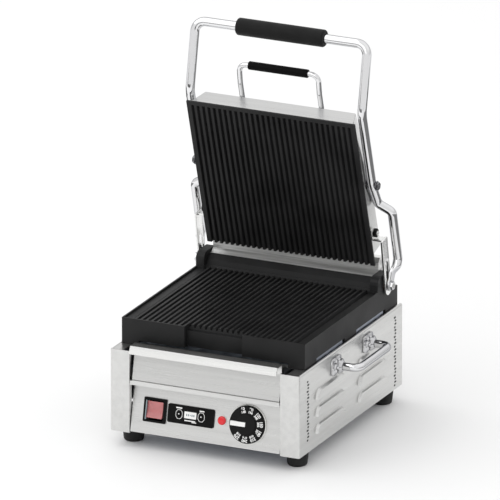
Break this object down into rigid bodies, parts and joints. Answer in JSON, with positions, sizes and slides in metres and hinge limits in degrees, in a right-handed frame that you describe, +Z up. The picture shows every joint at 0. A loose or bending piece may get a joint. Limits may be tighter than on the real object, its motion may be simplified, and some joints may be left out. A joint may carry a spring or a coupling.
{
  "type": "panini press",
  "caption": "Table-top contact grill: a stainless steel base with a ribbed cast lower plate and pull-out drip tray, and a ribbed lid that hangs in a sprung U-shaped handle frame.",
  "frame": {"origin": "on the floor under the middle of the base, between the four feet; the part's footprint is centred on it, side handles, tray lip and cord gland included", "axes": "+X to the user's right, +Y to the back, +Z up; the user stands at -Y"},
  "size_m": [0.404, 0.394, 0.6105],
  "materials": {
    "stainless": "fine brushed grain",
    "chrome": "polished",
    "galvanised": "galvanised sheet, bluish",
    "cast_iron": "black enamelled casting",
    "black_plastic": "matte black",
    "pale_plastic": "satin",
    "red_plastic": "translucent red",
    "lamp_red": "glossy red lens",
    "foot_rubber": "matte",
    "steel": "plain steel",
    "bronze": "sintered",
    "mineral_wool": "fibre mat"
  },
  "bodies": {
    "base": {"side_panel_right": "stainless", "side_panel_left": "stainless", "foot_front_right": "foot_rubber", "foot_front_left": "foot_rubber", "foot_back_right": "foot_rubber", "foot_back_left": "foot_rubber", "base_pan": "galvanised", "rear_panel": "stainless", "cord_gland": "black_plastic", "tray_shelf": "stainless", "tray_rail_right": "galvanised", "tray_rail_left": "galvanised", "terminal_block": "pale_plastic", "side_handle_bar_right": "chrome", "side_handle_bar_left": "chrome", "side_handle_front_mount_right": "chrome", "side_handle_front_mount_left": "chrome", "side_handle_back_mount_right": "chrome", "side_handle_back_mount_left": "chrome", "control_panel": "stainless", "switch_housing": "black_plastic", "timer_module": "black_plastic", "indicator_lamp": "lamp_red", "dial_ring": "pale_plastic", "thermostat_body": "steel", "lower_plate": "cast_iron", "heat_shield": "galvanised", "lower_element": "steel", "rear_cover": "stainless", "bearing_bush_right": "bronze", "bearing_bush_left": "bronze", "torsion_spring_right": "steel", "torsion_spring_left": "steel"},
    "frame": {"hinge_shaft": "steel", "shaft_nut_right": "chrome", "shaft_nut_left": "chrome", "handle_frame": "chrome", "handle_grip": "black_plastic"},
    "lid": {"upper_plate": "cast_iron", "lid_cover": "stainless", "lid_heat_shield": "stainless", "upper_element": "steel", "lid_insulation": "mineral_wool", "lid_handle": "chrome", "lid_handle_grip": "black_plastic", "pivot_screw_right": "steel", "pivot_screw_left": "steel", "strap_bolt_right": "steel", "strap_bolt_left": "steel"},
    "strap_right": {"strap_link_right": "stainless"},
    "strap_left": {"strap_link_left": "stainless"},
    "tray": {"drip_tray": "stainless"},
    "dial": {"dial": "black_plastic"},
    "rocker": {"rocker": "red_plastic"},
    "button_left": {"timer_button_left": "black_plastic"},
    "button_right": {"timer_button_right": "black_plastic"}
  },
  "joints": [
    {"name": "lid_lift", "type": "hinge", "parent": "base", "child": "frame", "pos_m": [0, 0.137, 0.2], "axis": [1, 0, 0], "range_deg": [0, 70]},
    {"name": "lid_float", "type": "hinge", "parent": "frame", "child": "lid", "pos_m": [0, 0.1064, 0.3677], "axis": [1, 0, 0], "range_deg": [-1, 6.5]},
    {"name": "strap_swing_right", "type": "hinge", "parent": "lid", "child": "strap_right", "pos_m": [0.1385, 0.121, 0.287], "axis": [1, 0, 0], "range_deg": [-13, 2.2]},
    {"name": "strap_swing_left", "type": "hinge", "parent": "lid", "child": "strap_left", "pos_m": [-0.1385, 0.121, 0.287], "axis": [1, 0, 0], "range_deg": [-13, 2.2]},
    {"name": "tray_slide", "type": "slide", "parent": "base", "child": "tray", "axis": [0, -1, 0], "range_m": [0, 0.15]},
    {"name": "dial_turn", "type": "hinge", "parent": "base", "child": "dial", "pos_m": [0.0684, -0.17979, 0.0635], "axis": [0, 0.978, -0.2086], "range_deg": [0, 270]},
    {"name": "rocker_tip", "type": "hinge", "parent": "base", "child": "rocker", "pos_m": [-0.086, -0.1749, 0.06246], "axis": [1, 0, 0], "range_deg": [0, 11.4]},
    {"name": "left_button_press", "type": "slide", "parent": "base", "child": "button_left", "axis": [0, 0.978, -0.2086], "range_m": [0, 0.001], "stiffness_N_per_m": 400},
    {"name": "right_button_press", "type": "slide", "parent": "base", "child": "button_right", "axis": [0, 0.978, -0.2086], "range_m": [0, 0.001], "stiffness_N_per_m": 400}
  ],
  "couplings": [
    {"joint": "strap_swing_right", "follows": "lid_float", "ratio": -1.93},
    {"joint": "strap_swing_left", "follows": "lid_float", "ratio": -1.93}
  ]
}
